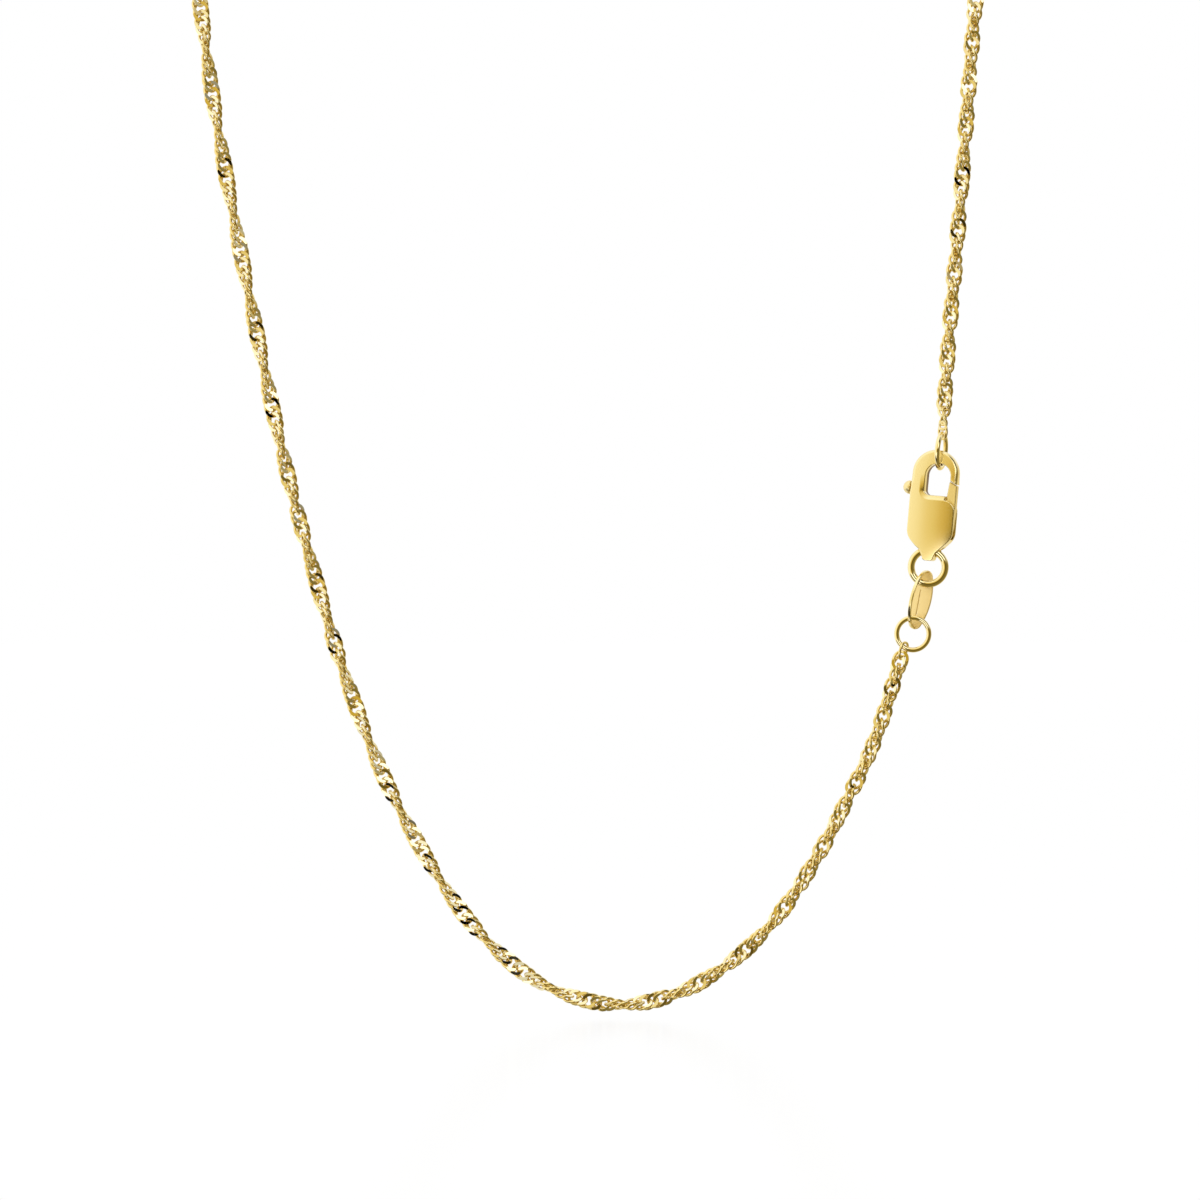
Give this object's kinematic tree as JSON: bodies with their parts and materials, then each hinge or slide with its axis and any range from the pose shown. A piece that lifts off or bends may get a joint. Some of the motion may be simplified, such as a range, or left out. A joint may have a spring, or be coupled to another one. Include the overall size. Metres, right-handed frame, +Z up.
{
  "type": "singapore chain necklace",
  "caption": "Fine twisted curb chain necklace that closes with a lobster clasp, hooked to a jump ring, with an oval tag loop between the clasp's ring and the chain.",
  "frame": {"origin": "middle of the chain at the nape, where the necklace hangs", "axes": "+Z up, X across the wearer with +X to the right of the front view, -Y towards the front"},
  "size_m": [0.0816, 0.0845, 0.1483],
  "materials": {
    "chain": "polished, with flat bright facets",
    "rings": "polished",
    "clasp": "soft polish",
    "tag": "soft polish"
  },
  "bodies": {
    "necklace": {"chain_left": "chain", "chain_right": "chain", "upper_end_link": "chain", "lower_end_link": "chain", "hook_ring": "rings", "clasp_body": "clasp", "tail_ring": "rings", "tag_link": "tag", "chain_ring": "rings"},
    "lever": {"clasp_lever": "clasp"}
  },
  "joints": [
    {"name": "lever_pivot", "type": "hinge", "parent": "necklace", "child": "lever", "pos_m": [0.03158, -0.08231, -0.10474], "axis": [-0.2746, -0.9613, 0.024], "range_deg": [0, 15], "stiffness_Nm_per_rad": 0.0005, "springref_deg": -11.46}
  ]
}
